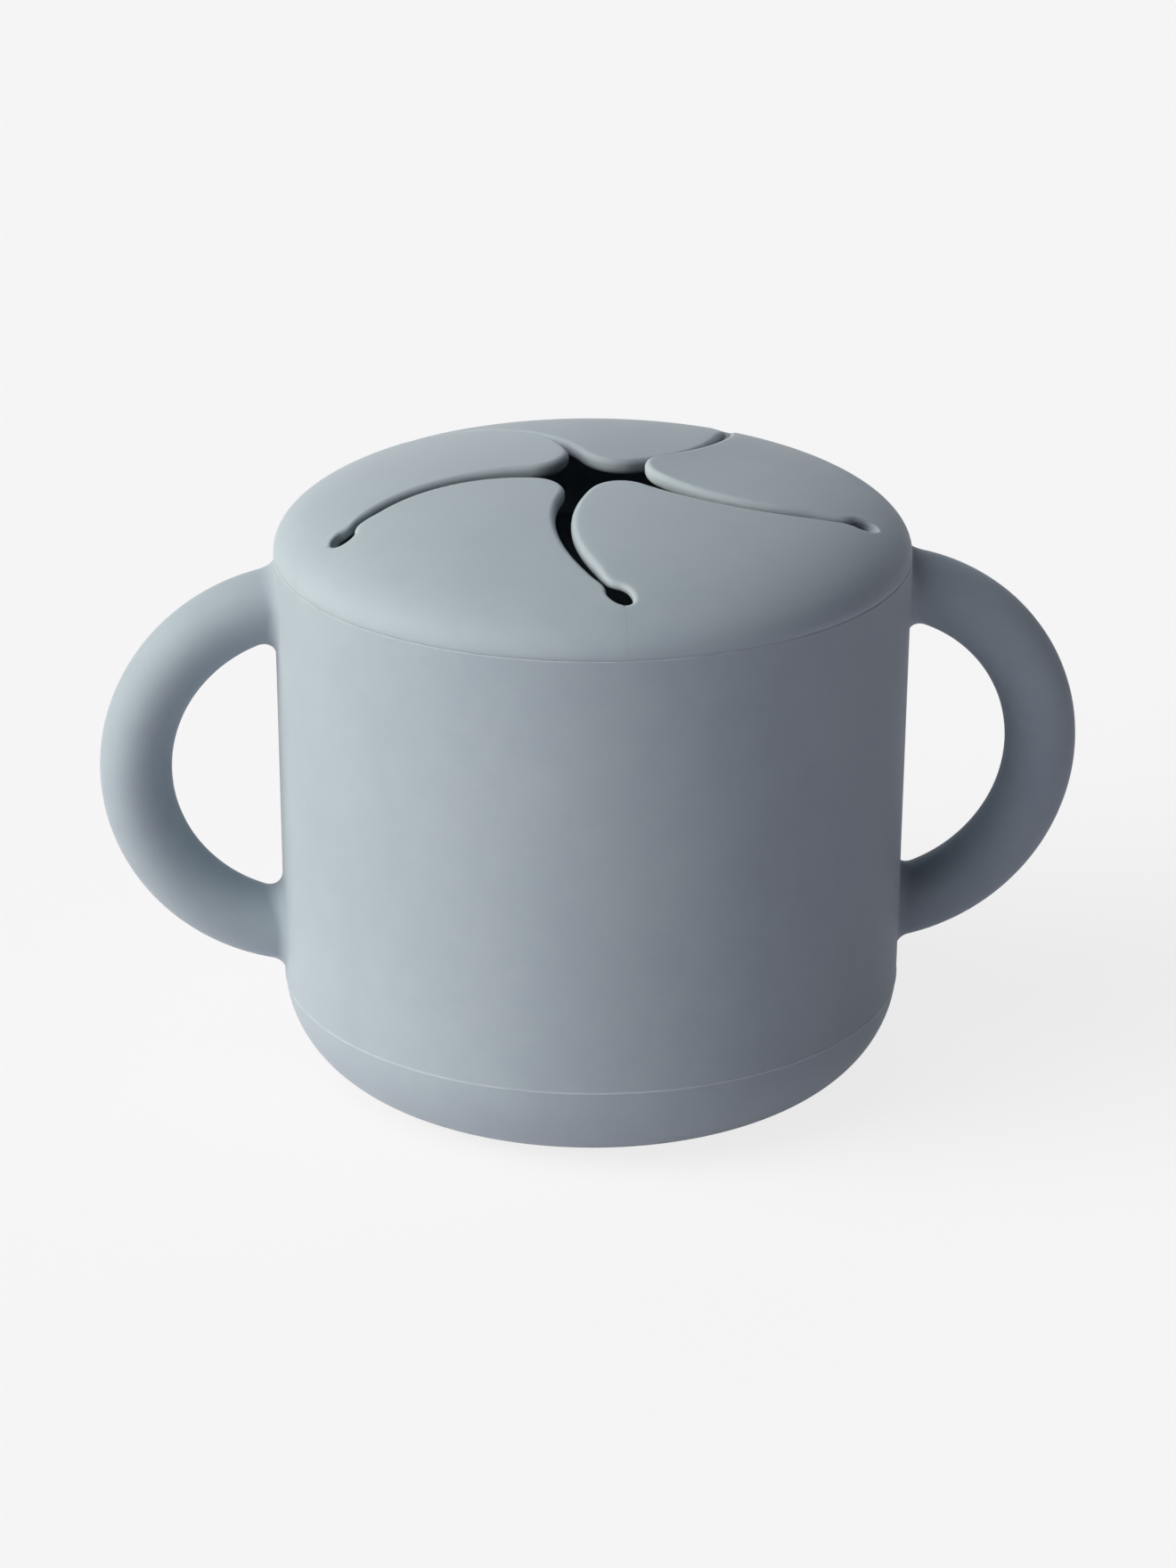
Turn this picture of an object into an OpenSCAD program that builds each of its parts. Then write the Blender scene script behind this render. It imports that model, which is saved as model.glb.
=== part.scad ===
// Soft silicone snack cup with two loop handles and a push-in lid whose domed
// top is cut into five curved petals. Millimetres, +Z up. The origin is the
// middle of the foot on the table, and the handles lie along X.

/* [Cup] */
// Outside diameter of the cup and the lid at the seam
cup_w = 90; // [84:0.5:100]
// How much narrower the wall is just above the rounded foot than at the seam
wall_taper = 1.1; // [0.6:0.1:3]
// Height of the cup's lip above the table
cup_h = 77.4; // [74:0.1:100]
// Wall of the cup
wall = 2.8; // [2.2:0.1:3.4]
// Thickness of the floor
floor_t = 3.4; // [2.6:0.1:5]
// Radius of the round between foot and wall
foot_round = 14.5; // [10:0.5:15.5]
// Diameter of the shallow recess under the floor
recess_w = 48; // [30:1:54]
// Depth of the recess under the floor
recess_t = 0.8; // [0.3:0.1:1.2]
// Round on the outer edge of the lip
lip_round = 0.45; // [0.2:0.05:0.8]
// Height of the mould's parting line
parting_z = 13.7; // [8:0.1:20]
// How far the parting line stands proud
parting_t = 0.14; // [0.05:0.01:0.3]

/* [Handles] */
// Diameter of the handle's round section
tube_w = 10.2; // [8:0.1:11]
// Radius of the handle's loop, to the middle of the section
loop_r = 25.1; // [20:0.1:25.5]
// Distance of the loop's centre inside the wall's outer face
loop_in = 5; // [3:0.1:7]
// Distance of the loop's centre below the lip
loop_drop = 31.1; // [30.5:0.1:33]
// Fillet where the handle grows out of the wall
root_fillet = 1.2; // [0.4:0.1:1.6]

/* [Lid] */
// Rise of the dome above the seam
dome_h = 11.6; // [10:0.1:14]
// Fullness of the dome across its top, where 2 is an ellipse
dome_top = 2.24; // [2:0.02:2.6]
// Fullness of the dome's shoulder, where 2 is an ellipse
dome_shoulder = 2.17; // [2:0.02:2.6]
// Thickness of the dome
dome_t = 2.3; // [1.8:0.1:2.6]
// Gap of the seam between lid and lip
seam = 0.15; // [0.05:0.05:0.4]
// Length of the plug below the seam
plug_h = 8.5; // [7:0.5:12]
// Wall of the plug
plug_t = 2.2; // [1.6:0.1:2.4]
// Clearance between plug and cup
plug_gap = 0.35; // [0.25:0.05:0.5]
// Clearance between a sealing bead and the cup
bead_gap = 0.08; // [0.02:0.01:0.1]
// Radius of a sealing bead's section
bead_r = 0.9; // [0.6:0.1:1.2]
// Distance of the upper sealing bead below the lip
bead_drop = 2.6; // [2:0.1:3]
// Distance between the two sealing beads
bead_step = 3; // [2.5:0.1:4]

/* [Petals] */
// Distance of a relief hole's middle from the lid's edge
hole_inset = 7.4; // [7.3:0.1:10]
// Diameter of a relief hole at a slit's outer end
hole_w = 3.7; // [2.6:0.1:3.8]
// Radius of a slit's curve
slit_r = 26.7; // [24:0.1:30]
// Distance at which a slit's curve, carried on, would miss the lid's axis
slit_miss = 2.9; // [2:0.1:4]
// Width of a slit at its relief hole
slit_w = 0.7; // [0.4:0.05:0.9]
// Angle at which the two edges of a slit spread apart towards the middle
slit_spread = 4.3; // [3:0.1:6]
// Radius of a petal's tip
tip_r = 5; // [3.5:0.1:5.5]
// Running clearance of a petal's bending line
bend_gap = 0.08; // [0.03:0.01:0.1]
// How far a petal's thin corner ends short of its relief hole
corner_gap = 0.5; // [0.3:0.1:0.8]

/* [Hidden] */
petal_count = 5;
silicone = "#9aa5ad";
$fn = 96;
e = 0.01;
cut = 200;

// Cup
cup_r = cup_w / 2;
foot_r = (cup_w - wall_taper) / 2;
tube_r = tube_w / 2;
loop_x = cup_r - loop_in;
loop_z = cup_h - loop_drop;
// How deep both ends of a handle's fillet are let into the wall and the tube
root_seat = 0.15;
draft = (cup_r - foot_r) / (cup_h - foot_round);
function wall_r(z) = foot_r + draft * (z - foot_round);
function bore_r(z) = wall_r(z) - wall;

// Lid
pitch = 360 / petal_count;
dome_z = cup_h + seam;
under_r = cup_r - dome_t;
under_h = dome_h - dome_t;
plug_r = bore_r(cup_h) - plug_gap;
plug_in = plug_r - plug_t;
lead_in = 0.8;
dome_steps = 32;
function dome_at(r, rad, rise) = dome_z + rise * pow(1 - pow(r / rad, dome_top), 1 / dome_shoulder);
function dome_curve(rad, rise) = [
    for (i = [0 : dome_steps])
        let (a = 90 * i / dome_steps)
        [rad * pow(sin(a), 2 / dome_top), dome_z + rise * pow(max(0, cos(a)), 2 / dome_shoulder)]
];

function backwards(points) = [for (i = [len(points) - 1 : -1 : 0]) points[i]];

// Bending line of a petal: the chord between its two relief holes
hole_ring = cup_r - hole_inset;
hole_r = hole_w / 2;
chord_x = hole_ring * cos(pitch / 2);
chord_y = hole_ring * sin(pitch / 2);
bend_top = dome_at(chord_x, cup_r, dome_h);
bend_low = dome_at(hole_ring - hole_r, under_r, under_h);
// The axis lies low in the skin, so that the underside clears its neighbour when the petal lifts
axis_share = 0.4;
bend_z = bend_low + axis_share * (bend_top - bend_low);
knuckle_over = 0.3;
bend_r = bend_top - bend_z + knuckle_over;
bend_end = chord_y - 0.75 * hole_r;

// Slit plan, in a petal's own frame, where its bending line is square to +X
function polar(r, a) = [r * cos(a), r * sin(a)];
function turn_about(p, c, a) = c + [
    (p[0] - c[0]) * cos(a) - (p[1] - c[1]) * sin(a),
    (p[0] - c[0]) * sin(a) + (p[1] - c[1]) * cos(a)
];
function circles_meet(c1, r1, c2, r2) =
    let (d = norm(c2 - c1), a = (r1 * r1 - r2 * r2 + d * d) / (2 * d), h = sqrt(r1 * r1 - a * a),
        u = (c2 - c1) / d)
    c1 + a * u + h * [-u[1], u[0]];
slit_far = slit_r + slit_miss;
slit_lead = acos((hole_ring * hole_ring + slit_far * slit_far - slit_r * slit_r)
    / (2 * hole_ring * slit_far));
hole_a = polar(hole_ring, -pitch / 2);
hole_b = polar(hole_ring, pitch / 2);
// Outer edge of the petal: inside this circle
edge_c1 = turn_about(polar(slit_far, slit_lead - pitch / 2), hole_a, -slit_spread / 2);
edge_r1 = slit_r - slit_w / 2;
// Inner edge of the petal: outside this circle
edge_c2 = turn_about(polar(slit_far, slit_lead + pitch / 2), hole_b, slit_spread / 2);
edge_r2 = slit_r + slit_w / 2;
// The tip's circle touches both edges
tip_c = circles_meet(edge_c1, edge_r1 - tip_r, edge_c2, edge_r2 + tip_r);
tip_a = atan2(tip_c[1] - edge_c1[1], tip_c[0] - edge_c1[0]);
tip_b = atan2(tip_c[1] - edge_c2[1], tip_c[0] - edge_c2[0]);
root_a = -acos((chord_x - edge_c1[0]) / edge_r1);
root_b = -acos((chord_x - edge_c2[0]) / edge_r2);
function arc(c, r, from, to, n) = [for (i = [0 : n]) c + polar(r, from + (to - from) * i / n)];
petal_outline = concat(
    arc(edge_c1, edge_r1, root_a, tip_a, 24),
    arc(tip_c, tip_r, tip_a, tip_b - 180, 10),
    arc(edge_c2, edge_r2, tip_b, root_b, 24)
);

module cup() {
    color(silicone)
    difference() {
        union() {
            rotate_extrude() cup_section();
            for (side = [0, 180]) rotate([0, 0, side]) handle();
        }
        rotate_extrude() bore_section();
        translate([0, 0, -e]) cylinder(h = recess_t + e, d1 = recess_w + 2 * e, d2 = recess_w - 2 * recess_t);
    }
}

// Outside of the cup: round foot, drafted wall, soft lip and parting line
module cup_section() {
    lip = [for (i = [0 : 4]) let (a = 22.5 * i)
        [wall_r(cup_h) - lip_round * (1 - cos(a)), cup_h - lip_round * (1 - sin(a))]];
    square([foot_r - foot_round, foot_round + e]);
    translate([foot_r - foot_round, foot_round]) circle(r = foot_round);
    polygon(concat([[0, foot_round], [foot_r, foot_round]], lip, [[0, cup_h]]));
    polygon([
        [foot_r - 2, parting_z - 3 * parting_t],
        [foot_r - 0.1, parting_z - 3 * parting_t],
        [foot_r + parting_t, parting_z],
        [foot_r - 0.1, parting_z + 3 * parting_t],
        [foot_r - 2, parting_z + 3 * parting_t]
    ]);
}

// Hollow of the cup
module bore_section() {
    round_in = foot_round - wall;
    low = floor_t + round_in;
    square_r = bore_r(low) - round_in;
    translate([0, floor_t]) square([square_r, round_in + e]);
    intersection() {
        translate([square_r, low]) circle(r = round_in);
        square([cut, cut]);
    }
    polygon([[0, low], [bore_r(low), low], [bore_r(cup_h), cup_h], [bore_r(cup_h), cup_h + 1], [0, cup_h + 1]]);
}

// Loop handle on +X, moulded in one piece with the wall
module handle() {
    translate([loop_x, 0, loop_z])
    rotate([90, 0, 0])
    rotate_extrude()
    translate([loop_r, 0]) circle(r = tube_r);
    for (end = [-1, 1]) handle_root(end);
}

// Small trumpet where the loop meets the wall
module handle_root(end) {
    reach = wall_r(loop_z + end * loop_r) - loop_x;
    root_z = loop_z + end * sqrt(loop_r * loop_r - reach * reach);
    fillet = min(root_fillet, cup_h - root_z - tube_r - 0.1);
    flare_r = tube_r + fillet - root_seat;
    sunk = wall_r(root_z) - sqrt(pow(wall_r(root_z), 2) - flare_r * flare_r) + root_seat;
    translate([wall_r(root_z) - sunk, 0, root_z])
    rotate([0, 90, 0])
    rotate_extrude()
    difference() {
        square([flare_r, fillet]);
        translate([flare_r, fillet]) circle(r = fillet);
    }
}

module lid_rim() {
    color(silicone)
    difference() {
        rotate_extrude() lid_section();
        linear_extrude(cut) polygon([for (k = [0 : petal_count - 1]) polar(hole_ring, hole_angle(k))]);
        for (k = [0 : petal_count - 1]) {
            at_petal(k) bending_line(bend_r + bend_gap, bend_end);
            rotate([0, 0, hole_angle(k)]) relief_hole(hole_r);
        }
    }
}

// The whole lid before it is cut: dome, shoulder, plug and sealing beads
module lid_section() {
    plug_low = dome_z - plug_h;
    polygon(concat(
        [[plug_in, plug_low], [plug_r - lead_in, plug_low], [plug_r, plug_low + 2 * lead_in], [plug_r, dome_z]],
        backwards(dome_curve(cup_r, dome_h)),
        [for (p = dome_curve(under_r, under_h)) if (p[0] < plug_in - 0.2) p],
        [[plug_in, dome_at(plug_in, under_r, under_h)]]
    ));
    for (z = [cup_h - bead_drop, cup_h - bead_drop - bead_step])
        translate([bore_r(z) - bead_gap - bead_r, z]) circle(r = bead_r);
}

// One petal of the dome: its bending line lies on the chord between two holes
module petal(k) {
    color(silicone)
    difference() {
        intersection() {
            rotate_extrude() dome_section();
            at_petal(k) union() {
                linear_extrude(cut) polygon(petal_outline);
                intersection() {
                    bending_line(bend_r, bend_end - bend_gap);
                    translate([chord_x - 0.3, -cut / 2, 0]) cube(cut);
                }
            }
        }
        rotate([0, 0, hole_angle(k)]) relief_hole(hole_r);
        rotate([0, 0, hole_angle(k + 1)]) relief_hole(hole_r + corner_gap);
    }
}

module dome_section() {
    polygon(concat(dome_curve(cup_r, dome_h), backwards(dome_curve(under_r, under_h))));
}

module bending_line(r, reach) {
    translate([chord_x, reach, bend_z]) rotate([90, 0, 0]) cylinder(h = 2 * reach, r = r);
}

module relief_hole(r) {
    translate([hole_ring, 0, dome_z]) cylinder(h = cut, r = r);
}

module at_petal(k) {
    rotate([0, 0, hole_angle(k) + pitch / 2]) children();
}
function hole_angle(k) = -90 + pitch * k;

cup();
lid_rim();
for (k = [1 : petal_count])
    petal(k - 1);
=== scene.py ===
import math

import bpy
import numpy as np
from mathutils import Matrix, Vector


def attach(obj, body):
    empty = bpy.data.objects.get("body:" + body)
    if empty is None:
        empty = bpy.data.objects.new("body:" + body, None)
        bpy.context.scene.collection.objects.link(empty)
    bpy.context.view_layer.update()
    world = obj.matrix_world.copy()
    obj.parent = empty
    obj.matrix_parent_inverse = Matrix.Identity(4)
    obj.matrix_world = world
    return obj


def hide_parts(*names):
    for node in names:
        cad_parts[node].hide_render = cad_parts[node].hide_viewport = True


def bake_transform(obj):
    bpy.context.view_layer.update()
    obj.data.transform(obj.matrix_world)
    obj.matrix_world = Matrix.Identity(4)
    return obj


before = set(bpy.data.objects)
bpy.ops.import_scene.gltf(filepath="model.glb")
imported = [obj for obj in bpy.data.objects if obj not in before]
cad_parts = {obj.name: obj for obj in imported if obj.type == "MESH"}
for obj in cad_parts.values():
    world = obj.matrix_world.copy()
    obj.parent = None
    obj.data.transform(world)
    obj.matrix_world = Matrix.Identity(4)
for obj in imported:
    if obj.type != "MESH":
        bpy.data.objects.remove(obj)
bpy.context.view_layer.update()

MM = 0.001
TAU = 2 * math.pi

# Sizes are in millimetres and angles in degrees. They are the ones in the part's source, apart
# from finer rounds, a finer parting line and slits that are 0.2 mm wider, as the photo shows them.

# The cup: its radius at the lip and at the foot, its height, and its wall and floor
CUP_R = 45.0
FOOT_R = 44.45
CUP_H = 77.4
WALL = 2.8
FLOOR_T = 3.4
FOOT_ROUND = 14.5
LIP_ROUND = 0.1
BORE_ROUND = 0.35
BORE_START = 0.8
# The shallow recess under the floor: rows across it, then the round at its edge
RECESS_T = 0.8
RECESS_ROWS = (0, 8, 16, 22.6, 23.0)
RECESS_ROUND = 0.4
RECESS_EDGE_R = 23.2
RING_START_R = 24.2
FOOT_RING_ROWS = (24.6, 26.5, 29.2)
# The flat of the lip starts this far inside the outer face and ends this far outside the bore
LIP_LAND = (0.8, 0.6)
# Radii of the rows on the floor
FLOOR_ROWS = (20, 10, 0)
# The mould's parting line: how far it stands out at these heights above and below it
PARTING_Z = 13.7
PARTING_T = 0.08
PARTING_RIDGE = ((-0.35, 0), (-0.2, 0.015), (-0.1, 0.05), (0, PARTING_T),
                 (0.1, 0.05), (0.2, 0.015), (0.35, 0))
PARTING_CLEAR = 0.15
# The cup's points farther out than this lie on its outer face or on the lip's outer edge
OUTSIDE_R = 44.0
# Where the mould left small nibs on the parting line, how wide and how far out they are
NIBS = (-92, -58, -39, -33)
NIB_HALF_WIDTH = 0.94
NIB_T = 0.1

# The loops of the handles
TUBE_R = 5.1
LOOP_R = 25.1
LOOP_X = 40.0
LOOP_Z = 46.3
LOOP_ROWS = 61
# Fillet at a loop's root, along the tube and along the wall: at its sides, inside the loop,
# and outside the loop at the upper and the lower root
SIDE_FILLET = (1.5, 1.5)
INNER_FILLET = (2.8, 2.5)
UPPER_FILLET = (3.0, 1.0)
LOWER_FILLET = (2.1, 1.65)
# The fillet's rows from the tube to the wall, and how strongly its corner pulls on the curve
FILLET_SHARES = (0, 0.12, 0.26, 0.42, 0.58, 0.74, 0.88, 1.0)
FILLET_PULL = 0.72
# How far the plain tube stays away from the fillet's first row
FILLET_CLEAR = 0.6
# Between these angles along the loop its tube meets the wall
ROOT_SEARCH = (60.0, 100.0)
ROOT_HALVINGS = 50

# Windows in the wall, from one height to another, where the roots are bridged in
UPPER_WINDOW = (61.9, 77.18)
LOWER_WINDOW = (14.62, 30.6)
WINDOW_COLUMNS = 6
WINDOW_ROWS = 12
BRIDGE_CUTS = 2
CUP_STEPS = 192
WALL_ROWS = 16
BORE_ROWS = 24
# Points round a loop's tube, which match the points round a window
TUBE_POINTS = 4 * WINDOW_ROWS
# How far from a window its rim is looked for, above and below it and off the wall's face
RIM_MARGIN = 0.3
ON_WALL = 0.02

# The lid's dome: the height of its edge, its rise, its skin, and the powers of its superellipse
DOME_Z = 77.55
DOME_H = 11.6
DOME_T = 2.3
DOME_TOP = 2.24
DOME_SHOULDER = 2.17
SHOULDER_R = 42.0
SHOULDER_ROWS = 15
SHOULDER_CLEAR = 0.2
# From this radius outwards the underside's rows lie closer to the axis than the top's
SQUEEZE_FROM = 36.0
# The lid's lower edge, which closes the seam
LID_EDGE_Z = 77.44
LID_EDGE_IN = 0.07
LID_FOOT_IN = 0.09
LID_FOOT_Z = 77.405

# The plug: its outer and inner radius, its lower end, its rounds, the points of its lead-in by how
# far they lie inside its outer face and above its lower end, and how far it goes into the lid
PLUG_R = 41.85
PLUG_IN = 39.65
PLUG_LOW = 69.05
PLUG_INNER_ROUND = 0.4
PLUG_TOE_ROUND = 0.5
PLUG_TOE_IN = 1.0
PLUG_LEAD = ((0.2, 1.2), (0, 1.7))
PLUG_NECK = (-0.3, 0.6)
PLUG_SEAT = 0.3
PLUG_LAP = 1.1
PLUG_STEPS = 160
PLUG_ROWS = 14
PLUG_ROWS_IN = 0.5
# Its two sealing beads, their gap to the cup's wall, and how far their foot spreads on the plug
BEAD_R = 0.9
BEAD_Z = (74.8, 71.8)
BEAD_GAP = 0.08
BEAD_FOOT = 0.25

# The slits and the relief holes that end them
PITCH = 72.0
HOLE_RING = 37.6
HOLE_R = 1.85
SLIT_R = 26.7
SLIT_MISS = 2.9
SLIT_W = 0.9
SLIT_SPREAD = 4.15
TIP_R = 5.0
# Rounds on the petals' edges, above and below, along the slits and at the holes
EDGE_ROUND = 0.95
HOLE_EDGE_ROUND = 0.6
UNDER_ROUND = 0.95
HOLE_UNDER_ROUND = 0.5
# Round in plan where a hole runs into its slit
CORNER_ROUND = 1.1
# How much a relief hole is drawn out along its slit and pressed in across it, and over what reach
HOLE_LONGER = 0.22
HOLE_NARROWER = 0.24
HOLE_REACH = 7.0
# How much thinner the petal's skin is at a relief hole, and the share of that where it is less
HOLE_THIN = 0.9
LESS_THIN = {-162: 0.3}
# How far the finer rounds and the thinner skin reach from a hole
HOLE_FADE = 5.0
THIN_PAST_RING = 1.5
THIN_OVER = 3.0

# Rows of a sector of the lid, along its sides and across it
SECTOR_COLUMNS = 36
LINE_ROWS = 6
HOLE_ROWS = 16
SLIT_ROWS = 32
# Over 1 it crowds a slit's rows towards its hole
SLIT_CROWDING = 1.25
# How far along its circle, past the tip, a petal's second edge still counts, in degrees
PAST_TIP = 5.0

# How far each petal's tip stands above (+) or below (-) the dome
TIP_LIFT = {1: 0.45, 2: 1.0, 3: -0.55, 4: 0.3, 5: 0.0}
# How far each petal's tip leans over the opening or away from it, in X and Y
TIP_SHIFT = {1: (-0.6, 0.6), 2: (1.4, 0.0), 3: (1.4, 1.0), 4: (1.3, 1.8), 5: (-1.0, 0.3)}
# How far each petal's tip is rolled about the petal's length, anticlockwise side up
TIP_ROLL = {1: 3.5, 2: 5.0, 3: 4.0, 4: -3.0, 5: 0.0}
# How far a petal's clockwise and anticlockwise edges bow up (+) or down (-) midway along the slits
EDGE_BOW = {1: (0.0, -0.1), 2: (0.1, 0.3), 3: (-0.22, 0.0), 4: (0.0, 0.0), 5: (0.0, 0.0)}
BOW_REACH = 11.0
# How far the relief holes at these angles lie from an even fifth of a turn, in X and Y
HOLE_SHIFT = {-90: (-0.3, 0.0), -18: (0.8, -0.5), 54: (0.7, 0.1)}

# How far worn edges reach at the lip, the parting line, the beads and the slits; at the lip, the
# parting line and the slits their paler colour is also a painted highlight
LIP_WEAR_AND_HIGHLIGHT = 0.13
PARTING_WEAR_AND_HIGHLIGHT = 0.16
BEAD_WEAR = 0.7
SLIT_WEAR_AND_HIGHLIGHT = 1.2

# Points closer together than this are merged: in a piece, in a sector and in a lathe's seam
MERGE = 0.004
SECTOR_MERGE = 0.0005
LATHE_MERGE = 0.002


# Helpers

def deselect_everything():
    if bpy.context.mode != "OBJECT":
        bpy.ops.object.mode_set(mode="OBJECT")
    bpy.ops.object.select_all(action="DESELECT")


def choose_only(obj, kind="VERT"):
    """Makes this the active object, with nothing of its mesh selected, to select this kind next."""
    bpy.context.view_layer.objects.active = obj
    obj.select_set(True)
    bpy.ops.object.mode_set(mode="EDIT")
    bpy.ops.mesh.select_mode(type=kind)
    bpy.ops.mesh.select_all(action="DESELECT")
    bpy.ops.object.mode_set(mode="OBJECT")


def edit():
    bpy.ops.object.mode_set(mode="EDIT")


def end_edit():
    bpy.ops.object.mode_set(mode="OBJECT")


def points(obj):
    """The vertices' places in millimetres, as rows of an array."""
    co = np.empty(len(obj.data.vertices) * 3, np.float64)
    obj.data.vertices.foreach_get("co", co)
    return co.reshape(-1, 3) / MM


def place(obj, rows):
    """Moves the vertices to these places, in millimetres."""
    obj.data.vertices.foreach_set("co", (np.asarray(rows, float) * MM).ravel())
    obj.data.update()


def select(obj, verts=None, edges=None, faces=None):
    """Selects only these vertices, edges or faces, given as a row of truth values."""
    mesh = obj.data
    for elements, chosen in ((mesh.vertices, verts), (mesh.edges, edges), (mesh.polygons, faces)):
        elements.foreach_set("select", np.zeros(len(elements), bool))
    for elements, chosen in ((mesh.vertices, verts), (mesh.edges, edges), (mesh.polygons, faces)):
        if chosen is not None:
            elements.foreach_set("select", np.asarray(chosen, bool))


def edge_ends(obj):
    """The two vertices of each edge."""
    ends = np.empty(len(obj.data.edges) * 2, np.int64)
    obj.data.edges.foreach_get("vertices", ends)
    return ends.reshape(-1, 2)


def face_centres(obj):
    """The faces' middles in millimetres."""
    c = np.empty(len(obj.data.polygons) * 3, np.float64)
    obj.data.polygons.foreach_get("center", c)
    return c.reshape(-1, 3) / MM


def border_edges(obj):
    """True for each edge that only one face uses."""
    mesh = obj.data
    index = np.empty(len(mesh.loops), np.int64)
    mesh.loops.foreach_get("edge_index", index)
    return np.bincount(index, minlength=len(mesh.edges)) == 1


def finish_mesh(obj, merge=MERGE):
    """Closes seams and poles, turns the faces outwards and shades them smoothly."""
    choose_only(obj)
    edit()
    bpy.ops.mesh.select_all(action="SELECT")
    bpy.ops.mesh.remove_doubles(threshold=merge * MM)
    bpy.ops.mesh.normals_make_consistent(inside=False)
    bpy.ops.mesh.select_all(action="DESELECT")
    end_edit()
    bpy.ops.object.shade_smooth()
    deselect_everything()


def lathe(name, profile, steps):
    """Turns a profile of (radius, height) rows, closed or ending on the axis, once round Z."""
    deselect_everything()
    count = len(profile)
    bpy.ops.mesh.primitive_circle_add(vertices=count, radius=MM)
    obj = bpy.context.object
    obj.name = name
    profile = np.asarray(profile, float)
    place(obj, np.column_stack([profile[:, 0], np.zeros(count), profile[:, 1]]))
    if profile[0, 0] < 1e-6 and profile[-1, 0] < 1e-6:
        closing = (np.sort(edge_ends(obj), axis=1) == [0, count - 1]).all(axis=1)
        choose_only(obj, "EDGE")
        select(obj, edges=closing)
        edit()
        bpy.ops.mesh.delete(type="EDGE")
        end_edit()
    choose_only(obj)
    edit()
    bpy.ops.mesh.select_all(action="SELECT")
    bpy.ops.mesh.spin(steps=steps, angle=TAU, center=(0, 0, 0), axis=(0, 0, 1))
    bpy.ops.mesh.select_all(action="SELECT")
    bpy.ops.mesh.remove_doubles(threshold=LATHE_MERGE * MM)
    end_edit()
    return obj


def arc(cx, cy, r, start, stop, count):
    """Points on a circle, from one angle to another, both ends included."""
    a = np.radians(np.linspace(start, stop, count + 1))
    return np.column_stack([cx + r * np.cos(a), cy + r * np.sin(a)])


def axis_distance(p):
    return np.hypot(p[:, 0], p[:, 1])


# The cup

def wall_r(z):
    """Radius of the cup's outside at a height above the rounded foot."""
    return FOOT_R + (CUP_R - FOOT_R) * (z - FOOT_ROUND) / (CUP_H - FOOT_ROUND)


def cup_profile():
    """Half section of the cup, from the middle of its underside to the middle of its floor."""
    rows = [(r, RECESS_T) for r in RECESS_ROWS]
    rows += list(arc(RECESS_EDGE_R, RECESS_T - RECESS_ROUND, RECESS_ROUND, 90, 0, 3))
    rows += list(arc(RING_START_R, RECESS_ROUND, RECESS_ROUND, 180, 270, 4))
    rows += [(r, 0) for r in FOOT_RING_ROWS]

    foot_in = FOOT_R - FOOT_ROUND
    foot_end = PARTING_Z + PARTING_RIDGE[0][0] - PARTING_CLEAR
    rows += [p for p in arc(foot_in, FOOT_ROUND, FOOT_ROUND, -90, 0, 40) if p[1] < foot_end]
    for above, out in PARTING_RIDGE:
        z = PARTING_Z + above
        rows.append((foot_in + math.sqrt(FOOT_ROUND ** 2 - (FOOT_ROUND - z) ** 2) + out, z))
    rows.append((FOOT_R, FOOT_ROUND))

    heights = [*np.linspace(*LOWER_WINDOW, WINDOW_ROWS + 1),
               *np.linspace(LOWER_WINDOW[1], UPPER_WINDOW[0], WALL_ROWS)[1:-1],
               *np.linspace(*UPPER_WINDOW, WINDOW_ROWS + 1)]
    rows += [(wall_r(z), z) for z in heights]

    top_r = wall_r(CUP_H)
    bore = top_r - WALL
    rows += list(arc(top_r - LIP_ROUND, CUP_H - LIP_ROUND, LIP_ROUND, 0, 90, 6))
    rows += [(top_r - LIP_LAND[0], CUP_H), (bore + LIP_LAND[1], CUP_H)]
    rows += list(arc(bore + BORE_ROUND, CUP_H - BORE_ROUND, BORE_ROUND, 90, 180, 4))

    round_in = FOOT_ROUND - WALL
    low = FLOOR_T + round_in
    rows += [(wall_r(z) - WALL, z) for z in np.linspace(CUP_H - BORE_START, low, BORE_ROWS)]
    floor_r = wall_r(low) - WALL - round_in
    rows += list(arc(floor_r, low, round_in, 0, -90, 16)[1:])
    rows += [(r, FLOOR_T) for r in (floor_r - 1, *FLOOR_ROWS)]
    return [tuple(row) for row in rows]


def tube_point(turn, phi):
    """A point on the loop's tube: turn is the angle along the loop, phi that round the tube."""
    out = LOOP_R + TUBE_R * np.cos(phi)
    return np.stack([LOOP_X + out * np.cos(turn), TUBE_R * np.sin(phi),
                     LOOP_Z + out * np.sin(turn)], -1)


def on_wall_surface(p):
    """Pushes points straight in or out onto the cup's outer face."""
    p = np.array(p, float)
    p[:, :2] *= (wall_r(p[:, 2]) / axis_distance(p))[:, None]
    return p


def tube_meets_wall(end, phi):
    """Angle along the loop at which each line of its tube runs into the wall."""
    low, high = (np.full(TUBE_POINTS, math.radians(limit)) for limit in ROOT_SEARCH)
    for _ in range(ROOT_HALVINGS):
        mid = (low + high) / 2
        p = tube_point(mid * end, phi)
        inside = axis_distance(p) < wall_r(p[:, 2])
        high = np.where(inside, mid, high)
        low = np.where(inside, low, mid)
    return (low + high) / 2


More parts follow.
